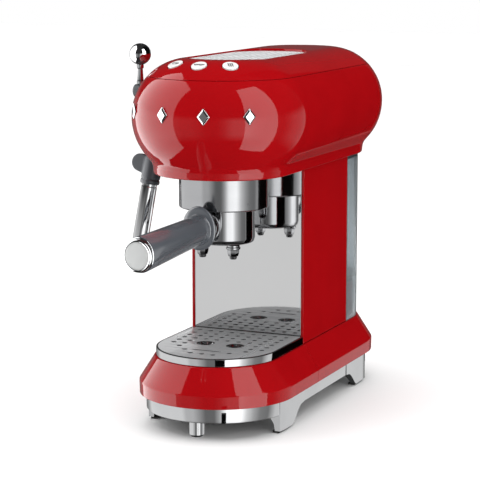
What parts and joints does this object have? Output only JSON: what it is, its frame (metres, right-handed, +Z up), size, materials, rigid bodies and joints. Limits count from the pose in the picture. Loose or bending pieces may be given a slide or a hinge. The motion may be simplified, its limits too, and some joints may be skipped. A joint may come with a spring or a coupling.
{
  "type": "espresso machine",
  "caption": "Retro pump espresso machine: long rounded head on a narrow column, round-ended base with drip tray, filter holder, steam wand and rear water tank.",
  "frame": {"origin": "on the resting surface, under the middle of the whole object's footprint", "axes": "+X to the right seen from the user, +Y from the user towards the water tank, +Z up"},
  "size_m": [0.1696, 0.4001, 0.3129],
  "materials": {
    "red_paint": "high gloss enamel",
    "chrome": "polished",
    "brushed_steel": "brushed",
    "mirror_steel": "mirror polished",
    "grey_plastic": "satin",
    "black_plastic": "matt",
    "black_rubber": "matt",
    "clear_plastic": "clear",
    "button_silver": "satin white",
    "aluminium": "cast",
    "brass": "machined",
    "circuit_board": "lacquered",
    "hose": "satin"
  },
  "bodies": {
    "machine": {"base_front_cover": "red_paint", "base_rear_cover": "red_paint", "column_cover": "red_paint", "head_shell": "red_paint", "top_cover": "red_paint", "tank_dock": "red_paint", "plinth_frame": "chrome", "front_foot": "chrome", "steam_socket": "chrome", "cup_warmer_plate": "brushed_steel", "group_collar": "brushed_steel", "shower_screen": "brushed_steel", "shower_screw": "brushed_steel", "steam_pipe": "brushed_steel", "splash_panel": "mirror_steel", "rear_wall": "grey_plastic", "base_plate": "black_plastic", "head_floor": "black_plastic", "switch_frame": "black_plastic", "cable_gland": "black_plastic", "leg_pad_front_left": "black_rubber", "leg_pad_front_right": "black_rubber", "leg_pad_rear_left": "black_rubber", "leg_pad_rear_right": "black_rubber", "tank_dock_seal": "black_rubber", "group_gasket": "black_rubber", "pump_mount": "black_rubber", "thermoblock": "aluminium", "pump": "aluminium", "steam_valve": "brass", "control_board": "circuit_board", "button_board": "circuit_board", "suction_hose": "hose", "pressure_hose": "hose"},
    "portafilter": {"portafilter_body": "chrome", "filter_basket": "brushed_steel", "spout_left": "chrome", "spout_right": "chrome", "spout_tip_left": "black_rubber", "spout_tip_right": "black_rubber", "handle_ferrule": "chrome", "handle_grip": "grey_plastic", "handle_cap": "chrome"},
    "steam_lever": {"lever_hub": "chrome", "lever_stem": "chrome", "lever_ball": "chrome"},
    "wand_swivel": {"wand_ball": "chrome"},
    "steam_wand": {"wand_grip": "grey_plastic", "wand_tube": "chrome", "wand_nozzle": "chrome"},
    "button_left": {"button_left": "button_silver"},
    "button_middle": {"button_middle": "button_silver"},
    "button_right": {"button_right": "button_silver"},
    "drip_pan": {"drip_pan": "black_plastic"},
    "drip_grate": {"drip_grate": "brushed_steel"},
    "water_tank": {"tank_body": "clear_plastic", "tank_lid": "grey_plastic", "tank_valve": "black_plastic"},
    "power_switch": {"power_switch": "black_plastic"}
  },
  "joints": [
    {"name": "portafilter_turn", "type": "hinge", "parent": "machine", "child": "portafilter", "pos_m": [0.0103, -0.0402, 0.1818], "axis": [0, 0, 1], "range_deg": [0, 55]},
    {"name": "steam_lever_turn", "type": "hinge", "parent": "machine", "child": "steam_lever", "pos_m": [-0.0757, -0.0209, 0.2728], "axis": [1, 0, 0], "range_deg": [0, 85]},
    {"name": "wand_swivel", "type": "hinge", "parent": "machine", "child": "wand_swivel", "pos_m": [-0.058, -0.0334, 0.2151], "axis": [0, 0, 1], "range_deg": [-20, 20]},
    {"name": "wand_swing", "type": "hinge", "parent": "wand_swivel", "child": "steam_wand", "pos_m": [-0.058, -0.0334, 0.2151], "axis": [0, 1, 0], "range_deg": [0, 20]},
    {"name": "button_left_press", "type": "slide", "parent": "machine", "child": "button_left", "axis": [0.2064, 0.3303, -0.921], "range_m": [0, 0.0012], "stiffness_N_per_m": 400},
    {"name": "button_middle_press", "type": "slide", "parent": "machine", "child": "button_middle", "axis": [0, 0.3895, -0.921], "range_m": [0, 0.0012], "stiffness_N_per_m": 400},
    {"name": "button_right_press", "type": "slide", "parent": "machine", "child": "button_right", "axis": [-0.2064, 0.3303, -0.921], "range_m": [0, 0.0012], "stiffness_N_per_m": 400},
    {"name": "drip_pan_lift", "type": "slide", "parent": "machine", "child": "drip_pan", "axis": [0, 0, 1], "range_m": [0, 0.03]},
    {"name": "drip_grate_lift", "type": "slide", "parent": "drip_pan", "child": "drip_grate", "axis": [0, 0, 1], "range_m": [0, 0.025]},
    {"name": "water_tank_slide", "type": "slide", "parent": "machine", "child": "water_tank", "axis": [0, 1, 0], "range_m": [0, 0.08]},
    {"name": "power_switch_rock", "type": "hinge", "parent": "machine", "child": "power_switch", "pos_m": [-0.0418, 0.0811, 0.0978], "axis": [0, -1, 0], "range_deg": [0, 14]}
  ]
}
